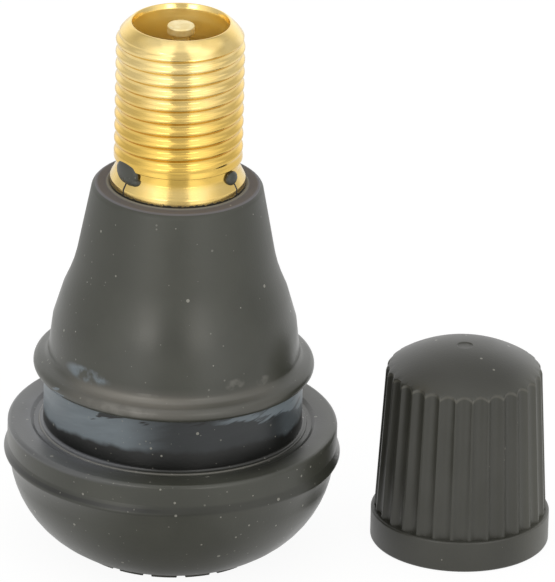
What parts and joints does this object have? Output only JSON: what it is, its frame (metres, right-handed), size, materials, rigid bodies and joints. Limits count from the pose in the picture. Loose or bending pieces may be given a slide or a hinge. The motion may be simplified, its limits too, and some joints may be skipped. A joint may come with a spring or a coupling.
{
  "type": "tyre valve",
  "caption": "Snap-in rubber tyre valve with a threaded brass stem, a screw-in valve core with a sprung pin, and a fluted dust cap standing beside it.",
  "frame": {"origin": "on the axis of the stem, in the plane of the rim seat, which is the top face of the rubber base", "axes": "+Z along the stem, out of the wheel; +X towards the dust cap; -Y towards the viewer of the picture"},
  "size_m": [0.033, 0.0202, 0.0337],
  "materials": {
    "rubber": "moulded, satin",
    "brass": "turned, bright",
    "core_brass": "turned",
    "gasket_red": "moulded",
    "spring_steel": "drawn wire",
    "seal_rubber": "moulded",
    "cap_plastic": "moulded, satin"
  },
  "bodies": {
    "valve_body": {"rubber_body": "rubber", "stem": "brass", "dust_cap": "cap_plastic"},
    "barrel": {"core_barrel": "core_brass", "barrel_gasket": "gasket_red", "core_spring": "spring_steel"},
    "plug": {"core_plug": "core_brass"},
    "pin": {"core_pin": "brass", "plunger_cup": "core_brass", "seat_seal": "seal_rubber"}
  },
  "joints": [
    {"name": "core_lift", "type": "slide", "parent": "valve_body", "child": "barrel", "axis": [0, 0, 1], "range_m": [0, 0.00353]},
    {"name": "plug_turn", "type": "hinge", "parent": "barrel", "child": "plug", "pos_m": [0, 0, 0.01935], "axis": [0, 0, 1], "range_deg": [0, 1800]},
    {"name": "pin_press", "type": "slide", "parent": "barrel", "child": "pin", "axis": [0, 0, -1], "range_m": [0, 0.0012], "stiffness_N_per_m": 2500, "springref_m": -0.0006, "deforming": ["core_spring"]}
  ],
  "couplings": [
    {"joint": "plug_turn", "follows": "core_lift", "rad_per_m": 8904.7}
  ]
}
